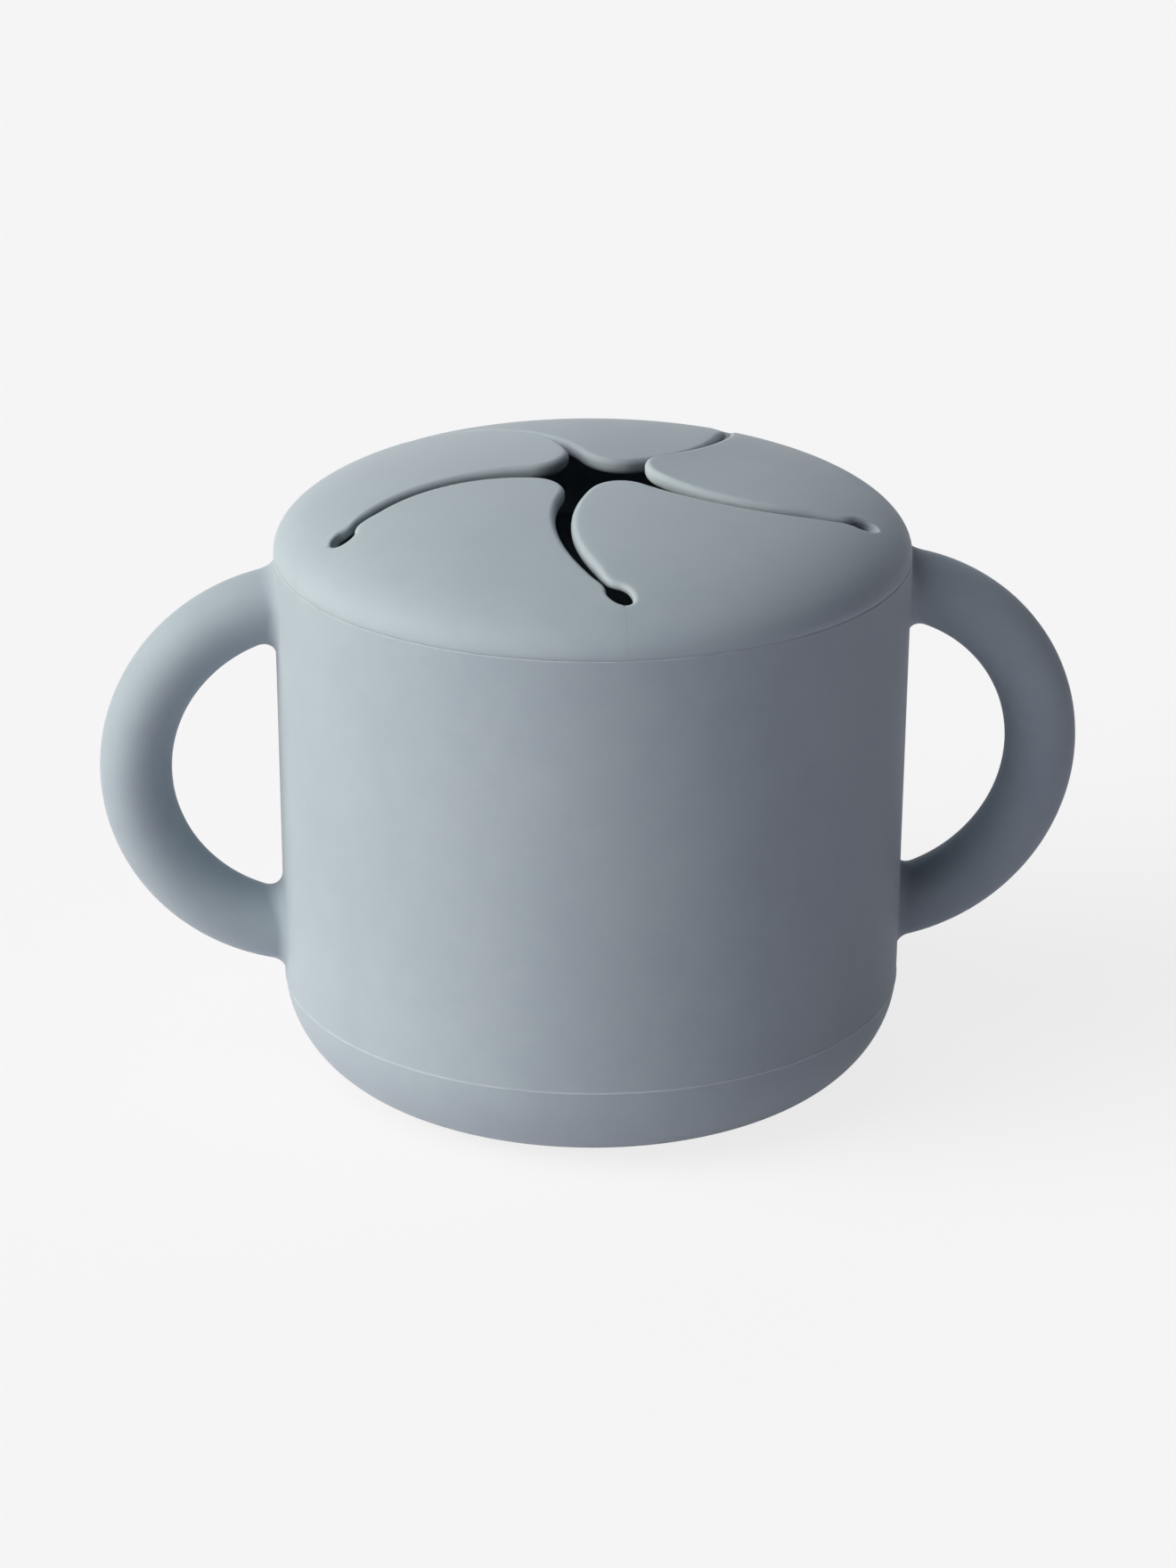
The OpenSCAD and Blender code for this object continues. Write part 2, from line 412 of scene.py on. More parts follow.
def root_curves(end):
    """For the loop's upper (1) or lower (-1) root: the angle along the loop at which the plain tube
    ends, and the fillet's rows of points from the tube to the wall."""
    phi = TAU * np.arange(TUBE_POINTS) / TUBE_POINTS
    meet = tube_meets_wall(end, phi)
    outer, inner = np.clip(np.cos(phi), 0, 1) ** 2, np.clip(-np.cos(phi), 0, 1) ** 2
    outer_fillet = UPPER_FILLET if end > 0 else LOWER_FILLET
    on_tube_by, on_wall_by = (side + (o - side) * outer + (i - side) * inner
                              for side, o, i in zip(SIDE_FILLET, outer_fillet, INNER_FILLET))
    line_r = LOOP_R + TUBE_R * np.cos(phi)
    corner = tube_point(meet * end, phi)
    on_tube = tube_point((meet - on_tube_by / line_r) * end, phi)
    normal = np.stack([np.cos(phi) * np.cos(meet), np.sin(phi),
                       np.cos(phi) * np.sin(meet) * end], -1)
    wall = np.column_stack([corner[:, 0], corner[:, 1], np.zeros(TUBE_POINTS)])
    wall /= np.linalg.norm(wall, axis=1)[:, None]
    along = normal - (normal * wall).sum(1)[:, None] * wall
    along /= np.linalg.norm(along, axis=1)[:, None]
    on_wall = on_wall_surface(corner + on_wall_by[:, None] * along)
    rows = []
    for t in FILLET_SHARES:
        a, b, c = (1 - t) ** 2, 2 * t * (1 - t) * FILLET_PULL, t * t
        rows.append((a * on_tube + b * corner + c * on_wall) / (a + b + c))
    return meet - (on_tube_by + FILLET_CLEAR) / line_r, rows


def extrude_rim(obj, rows):
    """Extrudes a closed rim once for each row and moves the new rim onto the row's points."""
    chosen = np.ones(len(obj.data.vertices), bool)
    for row in rows:
        count = len(obj.data.vertices)
        select(obj, verts=chosen)
        edit()
        bpy.ops.mesh.extrude_edges_move()
        end_edit()
        # The new vertices lie on the old ones, so each is known by its place
        p = points(obj)
        old, fresh = np.flatnonzero(chosen), np.arange(count, len(p))
        rank = np.empty(len(old), int)
        rank[np.lexsort(np.round(p[old], 4).T)] = np.arange(len(old))
        new_of_old = fresh[np.lexsort(np.round(p[fresh], 4).T)][rank]
        # The next row is given in the order of the vertices, so the order has to be kept
        if not np.array_equal(np.sort(new_of_old), new_of_old):
            raise ValueError("rim order changed")
        p[new_of_old] = row
        place(obj, p)
        chosen = np.zeros(len(p), bool)
        chosen[new_of_old] = True


def make_handle():
    """One loop: a round tube, with a fillet spread out on the wall at both of its ends."""
    upper_start, upper = root_curves(1)
    lower_start, lower = root_curves(-1)
    phi = TAU * np.arange(TUBE_POINTS) / TUBE_POINTS
    deselect_everything()
    bpy.ops.mesh.primitive_circle_add(vertices=TUBE_POINTS, radius=TUBE_R * MM)
    obj = bpy.context.object
    obj.name = "handle"
    place(obj, lower[-1])
    tube = [tube_point(-lower_start * (1 - t) + upper_start * t, phi)
            for t in np.linspace(0, 1, LOOP_ROWS)]
    choose_only(obj)
    extrude_rim(obj, lower[-2::-1] + tube + upper)
    end_edit()
    return obj


def cut_windows(cup):
    """Takes the wall away where the four roots go in."""
    c = face_centres(cup)
    angle = np.degrees(np.arctan2(c[:, 1], np.abs(c[:, 0])))
    cut = axis_distance(c) > wall_r(c[:, 2]) - WALL / 2
    cut &= np.abs(angle) < WINDOW_COLUMNS * 360.0 / CUP_STEPS
    in_rows = np.zeros(len(c), bool)
    for low, high in (LOWER_WINDOW, UPPER_WINDOW):
        in_rows |= (c[:, 2] > low) & (c[:, 2] < high)
    choose_only(cup, "FACE")
    select(cup, faces=cut & in_rows)
    edit()
    bpy.ops.mesh.delete(type="FACE")
    end_edit()


def bridge_window(cup, side, low, high):
    """Joins a window's rim to the root's rim inside it, with the new points on the wall's face."""
    p = points(cup)
    near = (p[:, 0] * side > 0) & (p[:, 2] > low - RIM_MARGIN) & (p[:, 2] < high + RIM_MARGIN)
    near &= np.abs(axis_distance(p) - wall_r(p[:, 2])) < ON_WALL
    ends = edge_ends(cup)
    rim = border_edges(cup) & near[ends[:, 0]] & near[ends[:, 1]]
    choose_only(cup, "EDGE")
    select(cup, edges=rim)
    edit()
    bpy.ops.mesh.bridge_edge_loops(number_cuts=BRIDGE_CUTS, interpolation="LINEAR")
    end_edit()
    p = points(cup)
    new = slice(-BRIDGE_CUTS * TUBE_POINTS, None)
    p[new] = on_wall_surface(p[new])
    place(cup, p)


def raise_nibs(cup):
    """Small nibs that the mould left on the parting line."""
    p = points(cup)
    angle = np.degrees(np.arctan2(p[:, 1], p[:, 0]))
    ridge = (np.abs(p[:, 2] - PARTING_Z) < ON_WALL) & (axis_distance(p) > OUTSIDE_R)
    nib = ridge & (np.abs(angle[:, None] - np.array(NIBS)) < NIB_HALF_WIDTH).any(axis=1)
    p[nib, :2] *= 1 + NIB_T / FOOT_R
    place(cup, p)


def make_cup():
    """The cup with both loops, as one closed skin."""
    cup = lathe("cup_body", cup_profile(), CUP_STEPS)
    cut_windows(cup)
    right = make_handle()
    left = right.copy()
    left.data = right.data.copy()
    bpy.context.collection.objects.link(left)
    place(left, points(left) * [-1, 1, 1])
    deselect_everything()
    for part in (cup, right, left):
        part.select_set(True)
    bpy.context.view_layer.objects.active = cup
    bpy.ops.object.join()
    deselect_everything()
    for side in (1, -1):
        for low, high in (LOWER_WINDOW, UPPER_WINDOW):
            bridge_window(cup, side, low, high)
    raise_nibs(cup)
    finish_mesh(cup)
    return cup


# The lid's dome and plug

def dome_at(r, rad, rise):
    """Height of a superellipse dome of this radius and rise, at a distance from the axis."""
    share = np.clip(1 - (np.asarray(r, float) / rad) ** DOME_TOP, 0, 1)
    return DOME_Z + rise * share ** (1 / DOME_SHOULDER)


def top_at(r):
    return dome_at(r, CUP_R, DOME_H)


def under_at(r):
    return dome_at(r, CUP_R - DOME_T, DOME_H - DOME_T)


def make_plug():
    """The plug: a ring let a little into the lid's skin, with a lead-in and two sealing beads."""
    def seat(r):
        return float(under_at(r)) + PLUG_SEAT

    inside_top = float(under_at(PLUG_IN)) - PLUG_ROWS_IN
    rows = [(PLUG_IN, seat(PLUG_IN))]
    rows += [(PLUG_IN, z) for z in np.linspace(inside_top, PLUG_LOW + PLUG_ROWS_IN, PLUG_ROWS)]
    rows += list(arc(PLUG_IN + PLUG_INNER_ROUND, PLUG_LOW + PLUG_INNER_ROUND,
                     PLUG_INNER_ROUND, 180, 270, 4))
    rows += [(PLUG_R - PLUG_TOE_IN - 0.2, PLUG_LOW)]
    rows += list(arc(PLUG_R - PLUG_TOE_IN, PLUG_LOW + PLUG_TOE_ROUND,
                     PLUG_TOE_ROUND, -90, -28, 4))
    rows += [(PLUG_R - inside, PLUG_LOW + above) for inside, above in PLUG_LEAD]
    for z in reversed(BEAD_Z):
        bead_x = wall_r(z) - WALL - BEAD_GAP - BEAD_R
        lean = math.degrees(math.acos((PLUG_R - bead_x) / BEAD_R))
        half = BEAD_R * math.sin(math.radians(lean)) + BEAD_FOOT
        rows += [(PLUG_R, z - half), *arc(bead_x, z, BEAD_R, -lean, lean, 8), (PLUG_R, z + half)]
    rows += [(PLUG_R, DOME_Z + above) for above in PLUG_NECK]
    rows += [(r, seat(r)) for r in (PLUG_R, PLUG_R - PLUG_LAP)]
    plug = lathe("lid_plug", [tuple(row) for row in rows], PLUG_STEPS)
    finish_mesh(plug)
    return plug


# The petals. One sector, a fifth of the lid, is made with +X outwards through its petal's middle.

def polar(r, degrees):
    a = math.radians(degrees)
    return np.array([r * math.cos(a), r * math.sin(a)])


def turn_about(p, c, degrees):
    a = math.radians(degrees)
    d = p - c
    return c + np.array([d[0] * math.cos(a) - d[1] * math.sin(a),
                         d[0] * math.sin(a) + d[1] * math.cos(a)])


def circles_meet(c1, r1, c2, r2, side=1):
    """Where two circles cross. side picks one of the two places."""
    d = np.linalg.norm(c2 - c1)
    a = (r1 * r1 - r2 * r2 + d * d) / (2 * d)
    h = math.sqrt(max(0.0, r1 * r1 - a * a))
    u = (c2 - c1) / d
    return c1 + a * u + side * h * np.array([-u[1], u[0]])


def angle_of(v):
    return math.degrees(math.atan2(v[1], v[0]))


def petal_middle(k):
    """The direction in which petal k points away from the axis."""
    return -90 + PITCH * (k - 1) + PITCH / 2


# A petal's outline: two circles along the slits and a third round the tip, all in the sector's plan
SLIT_FAR = SLIT_R + SLIT_MISS
SLIT_LEAD = math.degrees(math.acos((HOLE_RING ** 2 + SLIT_FAR ** 2 - SLIT_R ** 2)
                                   / (2 * HOLE_RING * SLIT_FAR)))
HOLE_A = polar(HOLE_RING, -PITCH / 2)
HOLE_B = polar(HOLE_RING, PITCH / 2)
EDGE_C1 = turn_about(polar(SLIT_FAR, SLIT_LEAD - PITCH / 2), HOLE_A, -SLIT_SPREAD / 2)
EDGE_R1 = SLIT_R - SLIT_W / 2
EDGE_C2 = turn_about(polar(SLIT_FAR, SLIT_LEAD + PITCH / 2), HOLE_B, SLIT_SPREAD / 2)
EDGE_R2 = SLIT_R + SLIT_W / 2
TIP_C = circles_meet(EDGE_C1, EDGE_R1 - TIP_R, EDGE_C2, EDGE_R2 + TIP_R)
TIP_A = angle_of(TIP_C - EDGE_C1)
TIP_B = angle_of(TIP_C - EDGE_C2)
CHORD_X = HOLE_RING * math.cos(math.radians(PITCH / 2))


def slit_distance(x, y):
    """Distance in plan from the nearest slit or relief hole, from inside one petal's sector."""
    def from_centre(c):
        v = p - c
        return np.degrees(np.arctan2(v[:, 1], v[:, 0])), np.hypot(*v.T)

    p = np.column_stack([x, y])
    d = np.minimum(np.hypot(*(p - HOLE_A).T), np.hypot(*(p - HOLE_B).T)) - HOLE_R
    along, out = from_centre(EDGE_C1)
    d = np.where(along < angle_of(HOLE_A - EDGE_C1), np.minimum(d, EDGE_R1 - out), d)
    along, out = from_centre(EDGE_C2)
    beside = (along < angle_of(HOLE_B - EDGE_C2)) & (along > TIP_B - PAST_TIP)
    d = np.where(beside, np.minimum(d, out - EDGE_R2), d)
    along, out = from_centre(TIP_C)
    past_edges = (along - TIP_A) % 360 >= (TIP_B - 180 - TIP_A) % 360 - 1e-6
    d = np.where(past_edges, np.minimum(d, TIP_R - out), d)
    return np.maximum(d, 0)


def fillet_drop(d, radius):
    """How far a round of this radius lies below the face, at a distance from the edge."""
    gap = np.clip(radius - d, 0, radius)
    return radius - np.sqrt(radius ** 2 - gap ** 2)


def round_corner(path, corner, reach):
    """Rounds the corner of a run of points, over this length on both of its sides."""
    step = np.hypot(*np.diff(path, axis=0).T)
    along = np.concatenate([[0], np.cumsum(step)])
    along -= along[corner]
    ends = [np.array([np.interp(side * reach, along, axis) for axis in path.T]) for side in (-1, 1)]
    u = np.clip((along + reach) / (2 * reach), 0, 1)[:, None]
    curve = (1 - u) ** 2 * ends[0] + 2 * u * (1 - u) * path[corner] + u ** 2 * ends[1]
    return np.where(np.abs(along)[:, None] < reach, curve, path)


def side_points(which, inset):
    """One side of a sector in plan, from the shoulder to the tip: split, relief hole, slit edge.
    inset moves it into the sector, away from the hole, the slit and the neighbouring sector."""
    sign = 1 if which == 1 else -1
    hole, centre = (HOLE_A, EDGE_C1) if which == 1 else (HOLE_B, EDGE_C2)
    edge_r = EDGE_R1 - inset if which == 1 else EDGE_R2 + inset
    hole_r = HOLE_R + inset
    radial = polar(1, -sign * PITCH / 2)
    across = sign * np.array([-radial[1], radial[0]])
    # Where the inset split line meets the inset hole, on the hole's outer side
    outer = hole + across * inset + radial * math.sqrt(hole_r ** 2 - inset ** 2)
    start = across * inset + radial * math.sqrt(SHOULDER_R ** 2 - inset ** 2)
    line = start + (outer - start) * np.linspace(0, 1, LINE_ROWS + 1)[:, None]
    meet = [circles_meet(centre, edge_r, hole, hole_r, s) for s in (1, -1)]
    inner = max(meet, key=lambda m: float(np.dot(m - hole, TIP_C - hole)))
    a0, a1 = angle_of(outer - hole), angle_of(inner - hole)
    a1 = a0 + (a1 - a0) % 360 if which == 1 else a0 - (a0 - a1) % 360
    ring = arc(*hole, hole_r, a0, a1, HOLE_ROWS)
    b0 = angle_of(inner - centre)
    b1 = TIP_A if which == 1 else TIP_B
    a = np.radians(b0 + (b1 - b0) * np.linspace(0, 1, SLIT_ROWS + 1) ** SLIT_CROWDING)
    slit = np.column_stack([centre[0] + edge_r * np.cos(a), centre[1] + edge_r * np.sin(a)])
    edge = round_corner(np.vstack([ring, slit[1:]]), HOLE_ROWS, CORNER_ROUND)
    return np.vstack([line[:-1], edge])


def shoulder_rows():
    """Radii of the rows from the seam up over the shoulder, dense where the dome is steep."""
    r = CUP_R * np.sin(np.radians(np.linspace(90, 60, SHOULDER_ROWS))) ** (2 / DOME_TOP)
    return r[r > SHOULDER_R + SHOULDER_CLEAR]


def sector_border(inset):
    """West side, east side and tip of a sector in plan, at this distance inside its outline."""
    sides = []
    for which, sign in ((1, -1), (2, 1)):
        outside = [polar(r, sign * (PITCH / 2 - math.degrees(math.asin(inset / r))))
                   for r in shoulder_rows()]
        sides.append(np.vstack([outside, side_points(which, inset)]))
    return (*sides, arc(*TIP_C, TIP_R - inset, TIP_A, TIP_B - 180, SECTOR_COLUMNS))


def coons(south, north, west, east):
    """Fills a four-sided patch. south and north have a point for each column, west and east for
    each row."""
    u = np.linspace(0, 1, len(south))[:, None, None]
    v = np.linspace(0, 1, len(west))[None, :, None]
    ruled = (1 - v) * south[:, None] + v * north[:, None] + (1 - u) * west[None] + u * east[None]
    corners = ((1 - u) * (1 - v) * south[0] + u * (1 - v) * south[-1]
               + (1 - u) * v * north[0] + u * v * north[-1])
    return ruled - corners


# Rows of the rounded border, by their distance inside the outline
INSETS = [EDGE_ROUND * s for s in (1.0, 0.8, 0.6, 0.42, 0.26, 0.13, 0.04, 0.0)]


def sector_grid(west, east, tip):
    """Plan of a sector inside its rounded border, as a grid of points."""
    shoulder = shoulder_rows()
    n_out = len(shoulder)
    south = arc(0, 0, SHOULDER_R, angle_of(west[n_out]), angle_of(east[n_out]), SECTOR_COLUMNS)
    inner = coons(south, tip, west[n_out:], east[n_out:])
    outer = np.empty((SECTOR_COLUMNS + 1, n_out, 2))
    for j, r in enumerate(shoulder):
        outer[:, j] = arc(0, 0, r, angle_of(west[j]), angle_of(east[j]), SECTOR_COLUMNS)
    return np.concatenate([outer, inner], axis=1)


def draw_out_holes(plan):
    """Draws the relief holes out along their slits, so that slit and hole run into each other."""
    plan = plan.copy()
    for hole, turn in ((HOLE_A, -PITCH / 2), (HOLE_B, PITCH / 2)):
        across = hole - polar(SLIT_FAR, SLIT_LEAD + turn)
        across /= np.linalg.norm(across)
        along = np.array([-across[1], across[0]])
        q = plan - hole
        near = np.clip(1 - (q ** 2).sum(1) / HOLE_REACH ** 2, 0, 1) ** 2
        plan += (near * HOLE_LONGER * (q @ along))[:, None] * along
        plan -= (near * HOLE_NARROWER * (q @ across))[:, None] * across
    return plan


def hole_share(plan):
    """1 at a relief hole, fading to 0 a few millimetres away from it."""
    away = np.minimum(np.hypot(*(plan - HOLE_A).T), np.hypot(*(plan - HOLE_B).T)) - HOLE_R
    return np.clip(1 - away / HOLE_FADE, 0, 1) ** 1.5


def chain_index(obj, chain):
    """Numbers of the vertices that lie on the chain's points, in the chain's order."""
    p = points(obj)
    return np.array([int(np.argmin(((p[:, :2] - q[:2]) ** 2).sum(1))) for q in chain])


def extrude_chain(obj, index, new_points):
    """Extrudes an open run of edges and moves its copy onto new points, in the same order."""
    count = len(obj.data.vertices)
    p = points(obj)
    ends = edge_ends(obj)
    place_in = np.full(count, -1)
    place_in[index] = np.arange(len(index))
    a, b = place_in[ends[:, 0]], place_in[ends[:, 1]]
    choose_only(obj, "EDGE")
    select(obj, edges=(a >= 0) & (b >= 0) & (np.abs(a - b) == 1))
    edit()
    bpy.ops.mesh.extrude_edges_move()
    end_edit()
    now = points(obj)
    new_index = np.empty(len(index), int)
    left = list(range(count, len(now)))
    for order, old in enumerate(index):
        new_index[order] = left.pop(int(np.argmin(((now[left] - p[old]) ** 2).sum(1))))
    now[new_index, :2] = new_points[:, :2]
    place(obj, now)
    return new_index


def flat_sector():
    """A sector's top laid flat, its plan, and each point's distance from the slits and holes."""
    borders = [sector_border(inset) for inset in INSETS]
    grid = sector_grid(*borders[0])
    columns, rows = grid.shape[0] - 1, grid.shape[1] - 1
    deselect_everything()
    bpy.ops.mesh.primitive_grid_add(x_subdivisions=columns, y_subdivisions=rows, size=2 * MM)
    obj = bpy.context.object
    obj.name = "sector"
    p = points(obj)
    i = np.rint((p[:, 0] + 1) / 2 * columns).astype(int)
    j = np.rint((p[:, 1] + 1) / 2 * rows).astype(int)
    place(obj, np.column_stack([grid[i, j], np.zeros(len(p))]))

    # Each row of the border runs down the west side, round the tip and back up the east side
    runs = [np.vstack([west, tip[1:-1], east[::-1]]) for west, east, tip in borders]
    index = chain_index(obj, runs[0])
    indices = [index]
    for run in runs[1:]:
        index = extrude_chain(obj, index, run)
        indices.append(index)
    plan = points(obj)[:, :2]
    away = slit_distance(plan[:, 0], plan[:, 1])
    edge_start = len(shoulder_rows()) + LINE_ROWS
    for inset, index in zip(INSETS, indices):
        away[index[edge_start:len(index) - edge_start]] = inset
    return obj, plan, away


def make_sector():
    """One petal with its part of the dome, draped over it, with its underside and rounded edges."""
    obj, plan, away = flat_sector()

    # The underside is a copy of the top, and its outer rows lie closer to the axis
    count = len(obj.data.vertices)
    edit()
    bpy.ops.mesh.select_all(action="SELECT")
    bpy.ops.mesh.duplicate()
    bpy.ops.mesh.flip_normals()
    end_edit()
    by_hole = hole_share(plan)
    top_edge = EDGE_ROUND + (HOLE_EDGE_ROUND - EDGE_ROUND) * by_hole
    under_edge = UNDER_ROUND + (HOLE_UNDER_ROUND - UNDER_ROUND) * by_hole
    plan = draw_out_holes(plan)
    r = axis_distance(plan)
    under_r = CUP_R - DOME_T
    closer = SQUEEZE_FROM + (r - SQUEEZE_FROM) * (under_r - SQUEEZE_FROM) / (CUP_R - SQUEEZE_FROM)
    squeeze = np.where(r > SQUEEZE_FROM, closer / r, 1)
    inner = plan * squeeze[:, None]
    thinned = HOLE_THIN * by_hole * np.clip((HOLE_RING + THIN_PAST_RING - r) / THIN_OVER, 0, 1)
    rim = r > CUP_R - 1e-4
    top_z = top_at(np.minimum(r, CUP_R)) - fillet_drop(away, top_edge)
    low_z = under_at(np.minimum(r * squeeze, under_r)) + fillet_drop(away, under_edge) + thinned
    top_z = np.where(rim, LID_EDGE_Z, top_z)
    low_z = np.where(rim, LID_FOOT_Z, low_z)
    plan[rim] *= (CUP_R - LID_EDGE_IN) / CUP_R
    place(obj, np.vstack([np.column_stack([plan, top_z]), np.column_stack([inner, low_z])]))
    note = obj.data.attributes.new("thinned", "FLOAT", "POINT")
    note.data.foreach_set("value", np.concatenate([np.zeros(count), thinned]))

    choose_only(obj, "EDGE")
    select(obj, edges=border_edges(obj))
    edit()
    bpy.ops.mesh.bridge_edge_loops(number_cuts=1, interpolation="LINEAR")
    end_edit()

    # The row between the lid's outer edge and its foot makes a small bevel over the seam
    p = points(obj)
    r = axis_distance(p)
    bevel = (p[:, 2] > LID_FOOT_Z + 0.01) & (p[:, 2] < LID_EDGE_Z - 0.01) & (r > under_r + 0.5)
    p[bevel, :2] *= ((CUP_R - LID_FOOT_IN) / r[bevel])[:, None]
    p[bevel, 2] = LID_FOOT_Z
    place(obj, p)
    finish_mesh(obj, merge=SECTOR_MERGE)
    return obj


def thicken_holes(petal, p, k):
    """Gives petal k some of its thinned skin back at the holes where less of it is missing."""
    note = petal.data.attributes["thinned"]
    thinned = np.empty(len(p))
    note.data.foreach_get("value", thinned)
    petal.data.attributes.remove(note)
    for angle, kept in LESS_THIN.items():
        for side in (-1, 1):
            apart = (petal_middle(k) + side * PITCH / 2 - angle) % 360
            if min(apart, 360 - apart) < 1:
                p[:, 2] -= np.where(p[:, 1] * side > 0, (1 - kept) * thinned, 0)


def make_petal(k, master):
    """A copy of the sector, turned to its place, with its petal resting as it does in the photo."""
    petal = master.copy()
    petal.data = master.data.copy()
    petal.name = f"petal_sector_{k}"
    bpy.context.collection.objects.link(petal)
    p = points(petal)
    thicken_holes(petal, p, k)

    # From 0 at the chord between the holes, where the petal bends, to 1 at its tip
    share = np.clip((CHORD_X - p[:, 0]) / (CHORD_X - (TIP_C[0] - TIP_R)), 0, 1)
    p[:, 2] += share ** 2 * (TIP_LIFT[k] + p[:, 1] * math.tan(math.radians(TIP_ROLL[k])))
    midway = 4 * share * (1 - share)
    for side, bow in zip((-1, 1), EDGE_BOW[k]):
        p[:, 2] += bow * midway * np.clip(side * p[:, 1] / BOW_REACH, 0, 1)

    middle = math.radians(petal_middle(k))
    c, s = math.cos(middle), math.sin(middle)
    x, y = p[:, 0].copy(), p[:, 1].copy()
    p[:, 0], p[:, 1] = x * c - y * s, x * s + y * c
    p[:, :2] += (share ** 2)[:, None] * np.array(TIP_SHIFT[k])
    for angle, shift in HOLE_SHIFT.items():
        reach = ((p[:, :2] - polar(HOLE_RING, angle)) ** 2).sum(1) / HOLE_REACH ** 2
        r = axis_distance(p)
        p[:, :2] += (np.clip(1 - reach, 0, 1) ** 2)[:, None] * np.array(shift)
        p[:, 2] += top_at(axis_distance(p)) - top_at(r)
    place(petal, p)
    return petal


# Materials

def add_node(tree, kind, x, y, **settings):
    node = tree.nodes.new(kind)
    node.location = (x, y)
    for key, value in settings.items():
        setattr(node, key, value)
    return node


def noise(tree, x, y, place_socket, scale, detail, rough=0.5):
    node = add_node(tree, "ShaderNodeTexNoise", x, y)
    node.inputs["Scale"].default_value = scale
    node.inputs["Detail"].default_value = detail
    node.inputs["Roughness"].default_value = rough
    tree.links.new(place_socket, node.inputs["Vector"])
    return node.outputs["Fac"]


def remap(tree, x, y, value, low, high, to_low, to_high):
    node = add_node(tree, "ShaderNodeMapRange", x, y)
    node.inputs["From Min"].default_value = low
    node.inputs["From Max"].default_value = high
    node.inputs["To Min"].default_value = to_low
    node.inputs["To Max"].default_value = to_high
    tree.links.new(value, node.inputs["Value"])
    return node.outputs["Result"]


def calculate(tree, x, y, operation, first, second):
    node = add_node(tree, "ShaderNodeMath", x, y, operation=operation)
    for socket, value in zip(node.inputs, (first, second)):
        if isinstance(value, (int, float)):
            socket.default_value = value
        else:
            tree.links.new(value, socket)
    return node.outputs[0]


def mix_colour(tree, x, y, share, first, second):
    node = add_node(tree, "ShaderNodeMix", x, y, data_type="RGBA")
    sockets = (node.inputs[0], node.inputs[6], node.inputs[7])
    for socket, value in zip(sockets, (share, first, second)):
        if hasattr(value, "is_output"):
            tree.links.new(value, socket)
        else:
            socket.default_value = value
    return node.outputs[2]


def new_group(name, inputs, outputs):
    group = bpy.data.node_groups.new(name, "ShaderNodeTree")
    for label, kind, value in inputs:
        socket = group.interface.new_socket(label, in_out="INPUT", socket_type=kind)
        if value is not None:
            socket.default_value = value
    for label, kind in outputs:
        group.interface.new_socket(label, in_out="OUTPUT", socket_type=kind)
    given = add_node(group, "NodeGroupInput", -1200, 0)
    return group, given, add_node(group, "NodeGroupOutput", 900, 0)


# Scales of the noises on the silicone, in repeats per metre
CLOUD_SCALE = 34.0
PATCH_SCALE = 210.0
WEAR_SCALE = 260.0
PEEL_SCALE = 520.0
GRAIN_SCALE = 3300.0
# A noise lies mostly between these values
NOISE_LOW, NOISE_HIGH = 0.3, 0.7
SPECK_COLOUR = (0.82, 0.84, 0.86, 1)
# Paler colour of worn edges; on the lip, the parting line and the petals' edges it is also a
# painted highlight
WORN_AND_HIGHLIGHT_COLOUR = (0.72, 0.76, 0.79, 1)


def make_moulded_skin():
    """Matt skin of moulded silicone: soft clouding, fine mould grain and a faint orange peel."""
    group, given, result = new_group(
        "moulded_silicone_skin",
        [("Place", "NodeSocketVector", None), ("Pale", "NodeSocketColor", (0.5, 0.5, 0.5, 1)),
         ("Deep", "NodeSocketColor", (0.4, 0.4, 0.4, 1)), ("Gloss", "NodeSocketFloat", 0.5)],
        [("Color", "NodeSocketColor"), ("Roughness", "NodeSocketFloat"),
         ("Height", "NodeSocketFloat")])
    place_at = given.outputs["Place"]
    cloud = noise(group, -900, 300, place_at, CLOUD_SCALE, 3.0)
    patch = noise(group, -900, 100, place_at, PATCH_SCALE, 4.0, 0.6)
    grain = noise(group, -900, -100, place_at, GRAIN_SCALE, 2.0, 0.6)
    peel = noise(group, -900, -300, place_at, PEEL_SCALE, 2.0)

    clouding = remap(group, -700, 300, cloud, NOISE_LOW, NOISE_HIGH, 0.0, 0.62)
    patching = remap(group, -700, 100, patch, NOISE_LOW, NOISE_HIGH, 0.0, 0.38)
    share = calculate(group, -600, 200, "ADD", clouding, patching)
    colour = mix_colour(group, -300, 300, share, given.outputs["Deep"], given.outputs["Pale"])
    speck = remap(group, -700, -100, grain, 0.68, 0.8, 0.0, 0.1)
    colour = mix_colour(group, 0, 300, speck, colour, SPECK_COLOUR)
    group.links.new(colour, result.inputs["Color"])

    by_patch = remap(group, -500, 0, patch, NOISE_LOW, NOISE_HIGH, -0.05, 0.05)
    by_grain = remap(group, -500, -150, grain, NOISE_LOW, NOISE_HIGH, -0.04, 0.04)
    uneven = calculate(group, -300, 0, "ADD", by_patch, by_grain)
    roughness = calculate(group, 0, 0, "ADD", given.outputs["Gloss"], uneven)
    group.links.new(roughness, result.inputs["Roughness"])

    fine = calculate(group, -500, -300, "MULTIPLY", grain, 0.3)
    group.links.new(calculate(group, -300, -300, "ADD", fine, peel), result.inputs["Height"])
    return group


